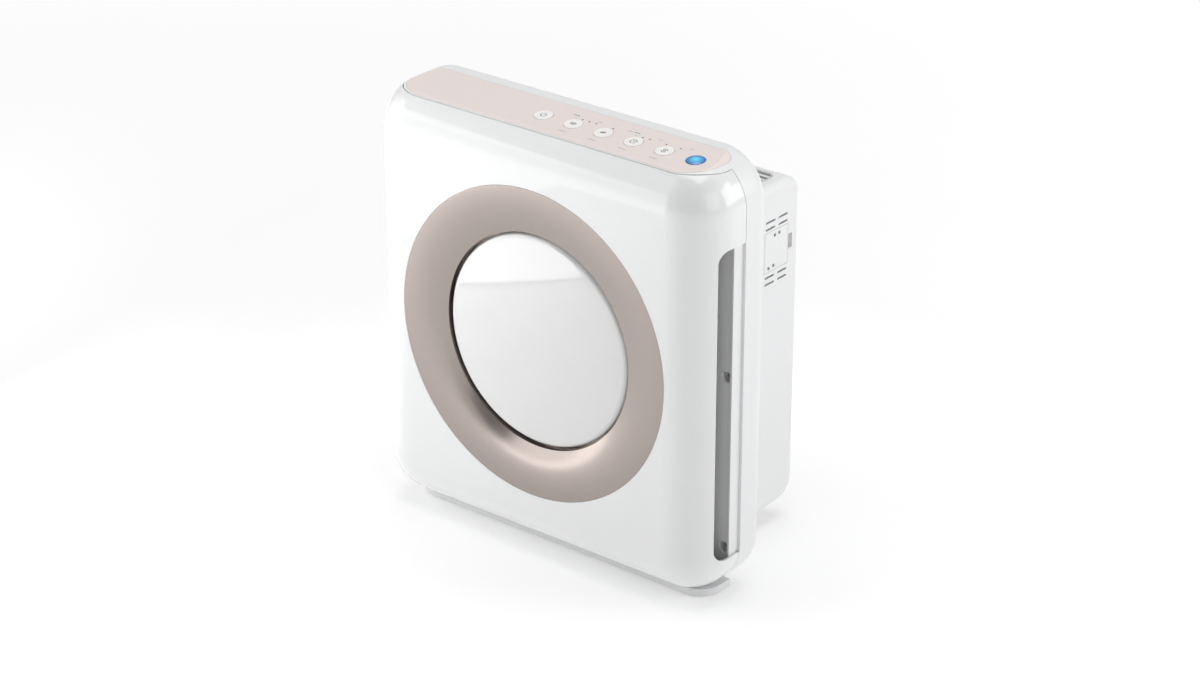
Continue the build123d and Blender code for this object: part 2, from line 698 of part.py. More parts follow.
def rear_block(inset):
    """The rear body as one solid, shrunk by inset, open to the front."""
    half_w = REAR_HALF_W - inset
    back = BACK_Y - inset
    top = REAR_TOP_Z - inset
    with BuildPart() as block:
        with BuildSketch(Plane.YZ.offset(-half_w)) as side:
            with BuildLine():
                Polyline(
                    (BODY_BACK_Y, rear_low_z(BODY_BACK_Y) + inset),
                    (back, rear_low_z(back) + inset),
                    (back, top),
                    (BODY_BACK_Y, top),
                    close=True,
                )
            make_face()
            back_corners = side.vertices().group_by(Axis.X)[-1].sort_by(Axis.Y)
            fillet(back_corners[0], REAR_LOW_R - inset)
            fillet(side.vertices().group_by(Axis.X)[-1].sort_by(Axis.Y)[-1], REAR_TOP_R - inset)
        extrude(amount=2 * half_w)
        left = block.faces().sort_by(Axis.X)[0].edges()
        right = block.faces().sort_by(Axis.X)[-1].edges()
        rim = (left + right).filter_by(lambda e: e.center().Y > BODY_BACK_Y + 1)
        fillet(rim, REAR_EDGE_R - inset)
    return block.part


SLOT_COLUMNS = [(64.0, 80.0), (85.0, 100.5)]
SLOT_ROWS = [344.0, 336.6, 284.6, 277.4]
SLOT_H = 2.2
LATCH_Y = (102.0, 108.6)
LATCH_Z = (304.5, 320.5)
WELL_XZ = [(-132.0, 60.0), (132.0, 60.0), (-132.0, 352.0), (132.0, 352.0)]
GLAND_XZ = (-104.0, 62.0)
GLAND_HOLE_R = 7.5
WELL_FLOOR_Y = BACK_Y - HANDLE_DEPTH + WALL
hinge_x = REAR_HALF_W - DOOR_KNUCKLE_R
door_mid_z = (DOOR_Z[0] + DOOR_Z[1]) / 2
door_low_gap = DOOR_Z[0] - DOOR_GAP
door_high_gap = DOOR_Z[1] + DOOR_GAP
side_plane = Plane.YZ.offset(REAR_HALF_W)

with BuildPart() as rear_housing:
    add(rear_block(0))
    add(rear_block(WALL), mode=Mode.SUBTRACT)
    # blocks inside the wall: hinge ears, finger notch, handle pocket, screw wells
    with BuildSketch(side_plane.offset(-1)):
        for z in (door_high_gap + 2.6, door_low_gap - 2.6):
            with Locations((DOOR_Y[0], z)):
                Rectangle(8.4, 5.2)
        with Locations((sum(LATCH_Y) / 2, sum(LATCH_Z) / 2)):
            Rectangle(LATCH_Y[1] - LATCH_Y[0] + 4, LATCH_Z[1] - LATCH_Z[0] + 4)
    extrude(amount=-DOOR_KNUCKLE_R * 2 - 0.6)
    with BuildSketch(front_plane(BACK_Y - 1)):
        with Locations((0, sum(HANDLE_Z) / 2)):
            RectangleRounded(2 * HANDLE_HALF_W + 2 * WALL, HANDLE_Z[1] - HANDLE_Z[0] + 2 * WALL, 9.0)
        with Locations(*WELL_XZ):
            Circle(6.0)
    extrude(amount=HANDLE_DEPTH)
    with BuildSketch(front_plane(BACK_Y + 1)):
        with Locations((0, sum(HANDLE_Z) / 2)):
            RectangleRounded(2 * HANDLE_HALF_W, HANDLE_Z[1] - HANDLE_Z[0], 6.5)
        with Locations(*WELL_XZ):
            Circle(4.2)
    extrude(amount=HANDLE_DEPTH - WALL + 1, mode=Mode.SUBTRACT)
    with BuildSketch(front_plane(BACK_Y)):
        with Locations(*WELL_XZ):
            Circle(2.2)
        with Locations(GLAND_XZ):
            Circle(GLAND_HOLE_R)
    extrude(amount=HANDLE_DEPTH + 2, mode=Mode.SUBTRACT)
    # door opening, finger notch, vent slots
    with BuildSketch(side_plane.offset(1)):
        with Locations(((DOOR_Y[0] + DOOR_Y[1]) / 2 - 1.35, door_mid_z)):
            front_edge = DOOR_Y[0] - DOOR_KNUCKLE_R
            Rectangle(DOOR_Y[1] - front_edge + 2 * DOOR_GAP, door_high_gap - door_low_gap)
        for row in SLOT_ROWS:
            for start, end in SLOT_COLUMNS:
                with Locations(((start + end) / 2, row)):
                    SlotOverall(end - start, SLOT_H)
    extrude(amount=-9.0, mode=Mode.SUBTRACT)
    with BuildSketch(side_plane.offset(1)):
        with Locations(((DOOR_Y[1] + LATCH_Y[1]) / 2, sum(LATCH_Z) / 2)):
            RectangleRounded(LATCH_Y[1] - DOOR_Y[1] + 1.0, LATCH_Z[1] - LATCH_Z[0], 0.45)
    extrude(amount=-4.6, mode=Mode.SUBTRACT)
    # hinge pin holes
    for z in (door_high_gap, door_low_gap - DOOR_PIN_LEN - 0.4):
        with BuildSketch(Plane.XY.offset(z)):
            with Locations((hinge_x, DOOR_Y[0])):
                Circle(DOOR_PIN_R + HINGE_CLEARANCE)
        extrude(amount=DOOR_PIN_LEN + 0.4, mode=Mode.SUBTRACT)
    # air outlet in the top
    with BuildSketch(Plane.XY.offset(REAR_TOP_Z - WALL - 1)):
        with Locations((0, (GRILLE_FRONT_Y + GRILLE_BACK_Y) / 2)):
            RectangleRounded(2 * GRILLE_HALF_W, GRILLE_BACK_Y - GRILLE_FRONT_Y, GRILLE_R)
    extrude(amount=WALL + 2, mode=Mode.SUBTRACT)
finish(rear_housing, "rear_housing")

# Outlet grille: slats along the width on cross ribs, in a rim that clips under the top.
GRILLE_PITCH = 9.0
GRILLE_RIM = 1.8
SLAT = (4.2, 9.6)
GRILLE_H = 12.0
grille_mid_y = (GRILLE_FRONT_Y + GRILLE_BACK_Y) / 2
grille_d = GRILLE_BACK_Y - GRILLE_FRONT_Y


with BuildPart() as slats:
    with BuildSketch(Plane.YZ.offset(-GRILLE_HALF_W)):
        for i in range(-6, 7):
            with Locations((grille_mid_y + i * GRILLE_PITCH, REAR_TOP_Z - SLAT[1] / 2 - 0.4)):
                Rectangle(*SLAT)
    extrude(amount=2 * GRILLE_HALF_W)
    with BuildSketch(Plane.XY.offset(REAR_TOP_Z - GRILLE_H + 0.5)):
        for x in (-64, 0, 64):
            with Locations((x, grille_mid_y)):
                Rectangle(2.4, grille_d)
    extrude(amount=7.0)
    with BuildSketch(Plane.XY.offset(REAR_TOP_Z - GRILLE_H)):
        with Locations((0, grille_mid_y)):
            RectangleRounded(2 * GRILLE_HALF_W - 2, grille_d - 2, GRILLE_R - 1)
    extrude(amount=GRILLE_H, mode=Mode.INTERSECT)

with BuildPart() as outlet_grille:
    with BuildSketch(Plane.XY.offset(REAR_TOP_Z - GRILLE_H)):
        with Locations((0, grille_mid_y)):
            RectangleRounded(2 * GRILLE_HALF_W - 0.8, grille_d - 0.8, GRILLE_R - 0.4)
    extrude(amount=GRILLE_H)
    with BuildSketch(Plane.XY.offset(REAR_TOP_Z - WALL - 2.4)):
        with Locations((0, grille_mid_y)):
            RectangleRounded(2 * GRILLE_HALF_W + 4, grille_d + 4, GRILLE_R + 2)
    extrude(amount=2.2)
    with BuildSketch(Plane.XY.offset(REAR_TOP_Z - GRILLE_H)):
        with Locations((0, grille_mid_y)):
            RectangleRounded(
                2 * (GRILLE_HALF_W - GRILLE_RIM), grille_d - 2 * GRILLE_RIM, GRILLE_R - GRILLE_RIM
            )
    extrude(amount=GRILLE_H, mode=Mode.SUBTRACT)
    add(slats.part)
finish(outlet_grille, "outlet_grille")

# Sensor door, hinged on two pins at its front edge.
with BuildPart() as sensor_door:
    with BuildSketch(Plane.XY.offset(DOOR_Z[0])):
        with Locations((hinge_x, DOOR_Y[0])):
            Circle(DOOR_KNUCKLE_R)
        with Locations((REAR_HALF_W - WALL / 2, (DOOR_Y[0] + DOOR_Y[1]) / 2)):
            Rectangle(WALL, DOOR_Y[1] - DOOR_Y[0])
    extrude(amount=DOOR_Z[1] - DOOR_Z[0])
    with BuildSketch(Plane.XY.offset(DOOR_Z[0] - DOOR_PIN_LEN)):
        with Locations((hinge_x, DOOR_Y[0])):
            Circle(DOOR_PIN_R)
    extrude(amount=DOOR_Z[1] - DOOR_Z[0] + 2 * DOOR_PIN_LEN)
    with BuildSketch(side_plane.offset(1)):
        with Locations((79.6, 327.4), (87.4, 327.6), (70.2, 294.2), (78.4, 294.8)):
            Rectangle(3.6, 3.6)
    extrude(amount=-WALL - 2, mode=Mode.SUBTRACT)
finish(sensor_door, "sensor_door")

# Particle sensor behind the door, on two posts from the side wall.
SENSOR_X = (118.0, 136.0)
with BuildPart() as particle_sensor:
    with BuildSketch(Plane.YZ.offset(SENSOR_X[0])):
        with Locations((84.0, door_mid_z)):
            RectangleRounded(40.0, 46.0, 2.0)
    extrude(amount=SENSOR_X[1] - SENSOR_X[0])
    with BuildSketch(Plane.YZ.offset(SENSOR_X[1])):
        with Locations((78.0, door_mid_z + 10)):
            Circle(6.0)
        with Locations((92.0, door_mid_z - 12)):
            Rectangle(10.0, 7.0)
    extrude(amount=-8.0, mode=Mode.SUBTRACT)
finish(particle_sensor, "particle_sensor")

with BuildPart() as sensor_bracket:
    with BuildSketch(Plane.YZ.offset(SENSOR_X[0] - 2)):
        with Locations((84.0, door_mid_z)):
            Rectangle(44.0, 66.0)
    extrude(amount=1.8)
    for z in (door_mid_z - 30.5, door_mid_z + 30.5):
        with BuildSketch(Plane.YZ.offset(SENSOR_X[0] - 1)):
            with Locations((84.0, z)):
                Rectangle(12.0, 4.0)
        extrude(amount=REAR_HALF_W - WALL - SENSOR_X[0] + 1)
finish(sensor_bracket, "sensor_bracket")

with BuildPart() as cord_gland:
    with BuildSketch(front_plane(BACK_Y)):
        with Locations(GLAND_XZ):
            Circle(GLAND_HOLE_R - 0.1)
            Circle(3.4, mode=Mode.SUBTRACT)
    extrude(amount=12.0)
    with BuildSketch(front_plane(BACK_Y - WALL - 0.1)):
        with Locations(GLAND_XZ):
            Circle(GLAND_HOLE_R + 2.5)
            Circle(3.4, mode=Mode.SUBTRACT)
    extrude(amount=2.5)
finish(cord_gland, "cord_gland")

with BuildPart() as rear_screws:
    with BuildSketch(front_plane(WELL_FLOOR_Y + 2.7)):
        with Locations(*WELL_XZ):
            Circle(3.8)
            Rectangle(4.8, 1.0, mode=Mode.SUBTRACT)
            Rectangle(1.0, 4.8, mode=Mode.SUBTRACT)
    extrude(amount=2.6)
    with BuildSketch(front_plane(WELL_FLOOR_Y + 1.0)):
        with Locations(*WELL_XZ):
            Circle(2.0)
    extrude(amount=14.0)
finish(rear_screws, "rear_screws")

# ============================ Fan ==========================================================
fan_plane = turning(FAN_X, FAN_Z)
fan_axis = depth_axis(FAN_X, FAN_Z)
CUTOFF = radians(CUTOFF_ANGLE)
SWEEP = CUTOFF + pi         # the wall winds from the cutoff, down the right, to the far left


def scroll_point(turn, grow=0.0):
    """Point on the spiral wall, turn radians on from the cutoff."""
    radius = SCROLL_START_R + (SCROLL_END_R - SCROLL_START_R) * turn / SWEEP + grow
    angle = CUTOFF - turn
    return (FAN_X + radius * cos(angle), FAN_Z + radius * sin(angle))


def scroll_outline(grow):
    """Spiral round the impeller that opens into a duct up to the outlet."""
    turns = [SWEEP * i / 12 for i in range(13)]
    spiral = [scroll_point(turn, grow) for turn in turns]
    duct_top = REAR_TOP_Z - GRILLE_H - 1.0
    left_x = spiral[-1][0]
    right_x = DUCT_HALF_W + grow
    with BuildLine() as outline:
        Spline(*spiral)
        Line(spiral[-1], (left_x, duct_top))
        Line((left_x, duct_top), (right_x, duct_top))
        Line((right_x, duct_top), spiral[0])
    return outline.line


with BuildPart() as fan_scroll:
    with BuildSketch(front_plane(SCROLL_Y[1])):
        add(scroll_outline(SCROLL_WALL))
        make_face()
    extrude(amount=SCROLL_Y[1] - SCROLL_Y[0])
    with BuildSketch(front_plane(SCROLL_Y[1] - SCROLL_WALL)):
        add(scroll_outline(0))
        make_face()
    extrude(amount=SCROLL_Y[1] - SCROLL_Y[0], mode=Mode.SUBTRACT)
    with BuildSketch(front_plane(SCROLL_Y[1])):
        with Locations((FAN_X, FAN_Z)):
            Circle(MOTOR_R + 0.6)
            with PolarLocations(MOTOR_R + 9.0, 4, start_angle=45):
                Circle(2.1)
        with Locations(*[(x, z) for x, z in WELL_XZ if x < 0 and z > FAN_Z]):
            Circle(2.1)
    extrude(amount=SCROLL_WALL, mode=Mode.SUBTRACT)
finish(fan_scroll, "fan_scroll")

# Bell mouth that leads the air into the impeller's eye.
BELL_LIP_Y = BODY_BACK_Y + 16.0
BELL_RIM_R = ORIFICE_R + 18.0
BELL_SKIN = 2.0
bell_front_y = BODY_BACK_Y + 0.2
with BuildPart() as inlet_bell:
    with BuildSketch(fan_plane):
        with BuildLine():
            Line((ORIFICE_SEAT_R + 6, bell_front_y), (BELL_RIM_R, bell_front_y))
            ThreePointArc(
                (BELL_RIM_R, bell_front_y),
                (ORIFICE_R + 4.6, bell_front_y + 4.6),
                (ORIFICE_R, BELL_LIP_Y),
            )
            Line((ORIFICE_R, BELL_LIP_Y), (ORIFICE_R + BELL_SKIN, BELL_LIP_Y))
            ThreePointArc(
                (ORIFICE_R + BELL_SKIN, BELL_LIP_Y),
                (ORIFICE_R + 6.4, bell_front_y + 6.4),
                (BELL_RIM_R, bell_front_y + BELL_SKIN),
            )
            Polyline(
                (BELL_RIM_R, bell_front_y + BELL_SKIN),
                (ORIFICE_SEAT_R + 6, bell_front_y + BELL_SKIN),
                (ORIFICE_SEAT_R + 6, bell_front_y),
            )
        make_face()
    revolve(axis=fan_axis)
finish(inlet_bell, "inlet_bell")

# Forward-curved impeller: a dished back plate, a ring of blades and a front hoop.
CUP_R = MOTOR_R + 5.0
CUP_FRONT_Y = MOTOR_Y[0] - 7.0
BLADE_INNER_R = 86.0
PLATE = 2.4
with BuildPart() as impeller:
    with BuildSketch(fan_plane):
        with BuildLine():
            Polyline(
                (SHAFT_R, CUP_FRONT_Y - 8),
                (SHAFT_R + 5, CUP_FRONT_Y - 8),
                (SHAFT_R + 5, CUP_FRONT_Y),
                (CUP_R, CUP_FRONT_Y),
                (CUP_R + 5, IMPELLER_Y[1] - PLATE),
                (IMPELLER_R, IMPELLER_Y[1] - PLATE),
                (IMPELLER_R, IMPELLER_Y[1]),
                (CUP_R + 2.5, IMPELLER_Y[1]),
                (CUP_R - 2.5, CUP_FRONT_Y + PLATE),
                (SHAFT_R, CUP_FRONT_Y + PLATE),
                close=True,
            )
        make_face()
    revolve(axis=fan_axis)
    with BuildSketch(front_plane(IMPELLER_Y[0] + 3.0)):
        with Locations((FAN_X, FAN_Z)):
            Circle(IMPELLER_R + 0.8)
            Circle(BLADE_INNER_R - 1.0, mode=Mode.SUBTRACT)
    extrude(amount=3.0)
    with BuildSketch(front_plane(IMPELLER_Y[1] - PLATE + 0.5)):
        with Locations((FAN_X, FAN_Z)):
            with PolarLocations((IMPELLER_R + BLADE_INNER_R) / 2, BLADES):
                with Locations(Location((0, 0), 38)):
                    Rectangle(IMPELLER_R - BLADE_INNER_R + 2.0, 1.3)
    extrude(amount=IMPELLER_Y[1] - PLATE - IMPELLER_Y[0] - 1.5)
finish(impeller, "impeller")

with BuildPart() as motor_shaft:
    with BuildSketch(front_plane(MOTOR_Y[1] - 1.0)):
        with Locations((FAN_X, FAN_Z)):
            Circle(SHAFT_R)
    extrude(amount=MOTOR_Y[1] - CUP_FRONT_Y + 14.0)
finish(motor_shaft, "motor_shaft")

with BuildPart() as impeller_nut:
    with BuildSketch(front_plane(CUP_FRONT_Y - 8.1)):
        with Locations((FAN_X, FAN_Z)):
            RegularPolygon(7.0, 6)
            Circle(SHAFT_R, mode=Mode.SUBTRACT)
    extrude(amount=5.0)
finish(impeller_nut, "impeller_nut")

with BuildPart() as motor_rotor:
    with BuildSketch(front_plane(MOTOR_Y[1] - 14.0)):
        with Locations((FAN_X, FAN_Z)):
            Circle(19.0)
            Circle(SHAFT_R, mode=Mode.SUBTRACT)
    extrude(amount=22.0)
finish(motor_rotor, "motor_rotor")

with BuildPart() as motor_stator:
    with BuildSketch(front_plane(MOTOR_Y[1] - 12.0)):
        with Locations((FAN_X, FAN_Z)):
            Circle(MOTOR_R - 2.2)
            Circle(19.6, mode=Mode.SUBTRACT)
    extrude(amount=26.0)
finish(motor_stator, "motor_stator")

with BuildPart() as motor_bearings:
    for y in (MOTOR_Y[0] + 2.0 + BEARING_WIDTH, MOTOR_Y[1] - 2.0):
        with BuildSketch(front_plane(y)):
            with Locations((FAN_X, FAN_Z)):
                Circle(BEARING_R)
                Circle(SHAFT_R + SHAFT_CLEARANCE, mode=Mode.SUBTRACT)
        extrude(amount=BEARING_WIDTH)
finish(motor_bearings, "motor_bearings")

with BuildPart() as motor_housing:
    with BuildSketch(fan_plane):
        with BuildLine():
            front, back = MOTOR_Y
            seat = BEARING_R + 0.05
            Polyline(
                (SHAFT_R + 1.5, front),
                (MOTOR_R, front),
                (MOTOR_R, back - 0.2),
                (SHAFT_R + 1.5, back - 0.2),
                (SHAFT_R + 1.5, back - 1.9),
                (seat, back - 1.9),
                (seat, back - 9.5),
                (seat + 2.5, back - 9.5),
                (seat + 2.5, back - 2.5),
                (MOTOR_R - 2.0, back - 2.5),
                (MOTOR_R - 2.0, front + 2.5),
                (seat + 2.5, front + 2.5),
                (seat + 2.5, front + 9.5),
                (seat, front + 9.5),
                (seat, front + 1.9),
                (SHAFT_R + 1.5, front + 1.9),
                close=True,
            )
        make_face()
    revolve(axis=fan_axis)
finish(motor_housing, "motor_housing")

with BuildPart() as motor_bracket:
    with BuildSketch(front_plane(SCROLL_Y[1] + 2.5)):
        with Locations((FAN_X, FAN_Z)):
            Circle(MOTOR_R + 15.0)
            with PolarLocations(MOTOR_R + 9.0, 4, start_angle=45):
                Circle(2.1, mode=Mode.SUBTRACT)
    extrude(amount=2.4)
    with BuildSketch(front_plane(SCROLL_Y[1] + 0.5)):
        with Locations((FAN_X, FAN_Z)):
            Circle(MOTOR_R + 0.3)
            Circle(MOTOR_R - 8.0, mode=Mode.SUBTRACT)
    extrude(amount=SCROLL_Y[1] + 0.5 - MOTOR_Y[1] + 0.1)
finish(motor_bracket, "motor_bracket")

with BuildPart() as motor_screws:
    with BuildSketch(front_plane(SCROLL_Y[1] + 5.2)):
        with Locations((FAN_X, FAN_Z)):
            with PolarLocations(MOTOR_R + 9.0, 4, start_angle=45):
                RegularPolygon(4.0, 6)
    extrude(amount=2.6)
    with BuildSketch(front_plane(SCROLL_Y[1] + 3.0)):
        with Locations((FAN_X, FAN_Z)):
            with PolarLocations(MOTOR_R + 9.0, 4, start_angle=45):
                Circle(2.0)
    extrude(amount=6.0)
finish(motor_screws, "motor_screws")

# ============================ Power electronics ============================================
BOARD_Y = 100.0
with BuildPart() as power_board:
    with BuildSketch(front_plane(BOARD_Y + 1.6)):
        with Locations((-30.0, 272.0)):
            Rectangle(110.0, 70.0)
    extrude(amount=1.6)
finish(power_board, "power_board")

with BuildPart() as power_parts:
    # transformer, relay, connector row and two upright capacitors
    with BuildSketch(front_plane(BOARD_Y)):
        with Locations((-62.0, 280.0)):
            Rectangle(30.0, 26.0)
        with Locations((-30.0, 290.0)):
            Rectangle(18.0, 12.0)
        with Locations((-24.0, 244.0)):
            Rectangle(46.0, 7.0)
        with Locations((2.0, 284.0), (16.0, 262.0)):
            Circle(6.0)
    extrude(amount=8.0)
finish(power_parts, "power_parts")

with BuildPart() as board_posts:
    with BuildSketch(front_plane(BOARD_Y - 0.1)):
        with Locations(*[(-30.0 + 50.0 * i, 272.0 + 30.0 * j) for i in (-1, 1) for j in (-1, 1)]):
            Circle(3.0)
    extrude(amount=BOARD_Y - 0.2 - SCROLL_Y[1])
finish(board_posts, "board_posts")

with BuildPart() as ionizer_module:
    with BuildSketch(front_plane(SCROLL_Y[1] + 16.1)):
        with Locations((66.0, 272.0)):
            RectangleRounded(44.0, 28.0, 2.5)
    extrude(amount=16.0)
finish(ionizer_module, "ionizer_module")

# ============================ Base =========================================================
with BuildPart() as base_stand:
    with BuildSketch(Plane.XY.offset(FOOT_LIFT)) as plan:
        with Locations((0, (FOOT_FRONT_Y + FOOT_BACK_Y) / 2)):
            Rectangle(2 * FOOT_HALF_W, FOOT_BACK_Y - FOOT_FRONT_Y)
        fillet(plan.vertices().group_by(Axis.Y)[0], FOOT_R)
        with Locations((0, (FOOT_BACK_Y + STEM_BACK_Y) / 2 - 2)):
            Rectangle(2 * STEM_HALF_W, STEM_BACK_Y - FOOT_BACK_Y + 4)
    extrude(amount=FOOT_TOP_Z - FOOT_LIFT)
    # pad that carries the housing, and a wedge that follows the rear body's underside
    with BuildSketch(Plane.YZ.offset(-STEM_HALF_W)):
        with BuildLine():
            Polyline(
                (SEAM_Y + 2, FOOT_TOP_Z - 1),
                (SEAM_Y + 2, BODY_BOTTOM),
                (BODY_BACK_Y - BACK_R - 2, BODY_BOTTOM),
                (BODY_BACK_Y - BACK_R, FOOT_TOP_Z),
                (BODY_BACK_Y + 2, FOOT_TOP_Z),
                (BODY_BACK_Y + 4, rear_low_z(BODY_BACK_Y + 4)),
                (STEM_BACK_Y, rear_low_z(STEM_BACK_Y)),
                (STEM_BACK_Y, FOOT_TOP_Z - 1),
                close=True,
            )
        make_face()
    extrude(amount=2 * STEM_HALF_W)
    # hollow underside
    with BuildSketch(Plane.XY.offset(FOOT_LIFT)):
        for x in (-115, 115):
            with Locations((x, (FOOT_FRONT_Y + FOOT_BACK_Y) / 2)):
                Rectangle(60.0, FOOT_BACK_Y - FOOT_FRONT_Y - 8)
        with Locations((0, 20.0)):
            Rectangle(2 * STEM_HALF_W - 60, 90.0)
    extrude(amount=5.0, mode=Mode.SUBTRACT)
    with BuildSketch(Plane.XY.offset(FOOT_LIFT)):
        with Locations(*PAD_XY):
            Circle(PAD_R + 0.3)
    extrude(amount=1.0, mode=Mode.SUBTRACT)
finish(base_stand, "base_stand")

with BuildPart() as rubber_feet:
    with BuildSketch(Plane.XY):
        with Locations(*PAD_XY):
            Circle(PAD_R)
    extrude(amount=FOOT_LIFT + 1.0)
finish(rubber_feet, "rubber_feet")
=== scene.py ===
"""Air purifier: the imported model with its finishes, marks, filter media and domed disc.

Everything is in metres; a length written in millimetres is multiplied by MM.
"""

import json
import math

import bmesh
import bpy
from mathutils import Matrix, Vector


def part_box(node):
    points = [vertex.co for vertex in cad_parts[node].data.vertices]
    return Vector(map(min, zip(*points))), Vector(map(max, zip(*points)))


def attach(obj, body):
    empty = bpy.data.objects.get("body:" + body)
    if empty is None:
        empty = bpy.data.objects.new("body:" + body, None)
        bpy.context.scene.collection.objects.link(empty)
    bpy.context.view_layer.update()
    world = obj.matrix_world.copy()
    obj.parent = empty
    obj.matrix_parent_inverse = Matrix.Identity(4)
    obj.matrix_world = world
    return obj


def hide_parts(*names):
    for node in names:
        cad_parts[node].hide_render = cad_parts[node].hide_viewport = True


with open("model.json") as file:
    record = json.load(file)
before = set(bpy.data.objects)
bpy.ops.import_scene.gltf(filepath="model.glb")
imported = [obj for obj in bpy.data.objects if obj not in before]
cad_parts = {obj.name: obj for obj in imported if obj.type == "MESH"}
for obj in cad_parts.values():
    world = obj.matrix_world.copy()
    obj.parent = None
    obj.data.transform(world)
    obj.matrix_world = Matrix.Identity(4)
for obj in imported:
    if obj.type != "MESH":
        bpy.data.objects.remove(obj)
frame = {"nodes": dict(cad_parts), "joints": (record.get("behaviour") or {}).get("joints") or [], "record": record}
nodes = frame["nodes"]
MM = 0.001
COLOUR_INPUTS, COLOUR_OUTPUT = (6, 7), 2    # the colour sockets of a Mix node
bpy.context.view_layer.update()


# ---------------------------------------------------------------- shader helpers
class Shader:
    """One procedural material: its nodes are added by name and joined by the calls below."""

    def __init__(self, name):
        self.material = bpy.data.materials.new(name)
        self.material.use_nodes = True
        self.tree = self.material.node_tree
        self.principled = self.tree.nodes["Principled BSDF"]

    def add(self, kind, **settings):
        node = self.tree.nodes.new(kind)
        for key, value in settings.items():
            setattr(node, key, value)
        return node

    def link(self, source, target):
        self.tree.links.new(source, target)

    def place(self):
        return self.add("ShaderNodeTexCoord").outputs["Object"]

    def stretched(self, scale):
        """Object coordinates, scaled by scale on each axis."""
        mapping = self.add("ShaderNodeMapping")
        mapping.inputs["Scale"].default_value = scale
        self.link(self.place(), mapping.inputs["Vector"])
        return mapping.outputs["Vector"]

    def noise(self, size, detail=3.0, where=None):
        node = self.add("ShaderNodeTexNoise")
        node.inputs["Scale"].default_value = 1.0 / size
        node.inputs["Detail"].default_value = detail
        self.link(where or self.place(), node.inputs["Vector"])
        return node.outputs["Fac"]

    def spread(self, value, low, high, start=0.3, end=0.7):
        """value, mapped from start..end to low..high."""
        node = self.add("ShaderNodeMapRange")
        node.inputs["From Min"].default_value = start
        node.inputs["From Max"].default_value = end
        node.inputs["To Min"].default_value = low
        node.inputs["To Max"].default_value = high
        self.link(value, node.inputs["Value"])
        return node.outputs["Result"]

    def distance(self, centre):
        """How far each point is from centre."""
        node = self.add("ShaderNodeVectorMath", operation="DISTANCE")
        node.inputs[1].default_value = centre
        self.link(self.place(), node.inputs[0])
        return node.outputs["Value"]

    def maths(self, operation, first, second=0.5):
        node = self.add("ShaderNodeMath", operation=operation)
        for socket, value in zip(node.inputs, (first, second)):
            if isinstance(value, (int, float)):
                socket.default_value = value
            else:
                self.link(value, socket)
        return node.outputs["Value"]

    def blend(self, factor, first, second):
        """Colour first where factor is 0, second where it is 1; either may be a socket."""
        node = self.add("ShaderNodeMix", data_type="RGBA")
        self.link(factor, node.inputs["Factor"])
        for index, value in zip(COLOUR_INPUTS, (first, second)):
            if isinstance(value, tuple):
                node.inputs[index].default_value = (*value, 1.0)
            else:
                self.link(value, node.inputs[index])
        return node.outputs[COLOUR_OUTPUT]

    def relief(self, height, depth, edge=0.0):
        """Bumps of that depth in metres, over edges softened by a radius of edge."""
        bump = self.add("ShaderNodeBump")
        bump.inputs["Strength"].default_value = 1.0
        bump.inputs["Distance"].default_value = depth
        self.link(height, bump.inputs["Height"])
        if edge:
            bevel = self.add("ShaderNodeBevel", samples=4)
            bevel.inputs["Radius"].default_value = edge
            self.link(bevel.outputs["Normal"], bump.inputs["Normal"])
        self.link(bump.outputs["Normal"], self.principled.inputs["Normal"])

    def set(self, **values):
        for key, value in values.items():
            socket = self.principled.inputs[key.replace("_", " ")]
            if isinstance(value, (int, float)):
                socket.default_value = value
            elif isinstance(value, tuple):
                socket.default_value = (*value, 1.0)
            else:
                self.link(value, socket)


def shade(colour, factor):
    return tuple(channel * factor for channel in colour)


def moulded(
    name, colour, rough, grain=0.35 * MM, depth=0.004 * MM, edge=0.5 * MM, mottle=0.02, **extra
):
    """Moulded plastic: a fine spark texture, slow drift in tone and sheen, softened edges."""
    s = Shader(name)
    drift = s.noise(60 * MM, 4)
    s.set(Base_Color=s.blend(drift, shade(colour, 1 - mottle), shade(colour, 1 + mottle)))
    s.set(Roughness=s.spread(s.noise(14 * MM, 5), rough * 0.93, rough * 1.07), **extra)
    s.relief(s.noise(grain, 2), depth, edge)
    return s.material


def painted(name, colour, rough, metallic, flake=0.22 * MM):
    """Metallic paint: flakes that differ in tone, with roughness that drifts a little."""
    s = Shader(name)
    flakes = s.add("ShaderNodeTexVoronoi")
    flakes.inputs["Scale"].default_value = 1 / flake
    s.link(s.place(), flakes.inputs["Vector"])
    tone = s.spread(flakes.outputs["Distance"], 0.0, 1.0, 0.1, 0.8)
    s.set(Base_Color=s.blend(tone, shade(colour, 1.05), shade(colour, 0.95)), Metallic=metallic)
    s.set(Roughness=s.spread(s.noise(9 * MM, 4), rough * 0.94, rough * 1.06))
    s.relief(flakes.outputs["Distance"], 0.002 * MM)
    return s


def turned(name, colour, rough, pitch=0.4 * MM):
    """Bare or plated metal with fine machining lines and faint staining."""
    s = Shader(name)
    lines = s.noise(pitch, 2, s.stretched((1.0, 1.0, 14.0)))
    stain = s.noise(8 * MM, 5)
    s.set(Base_Color=s.blend(stain, shade(colour, 0.85), colour), Metallic=1.0)
    s.set(Roughness=s.spread(lines, rough * 0.8, rough * 1.2))
    s.relief(lines, 0.006 * MM, 0.2 * MM)
    return s.material


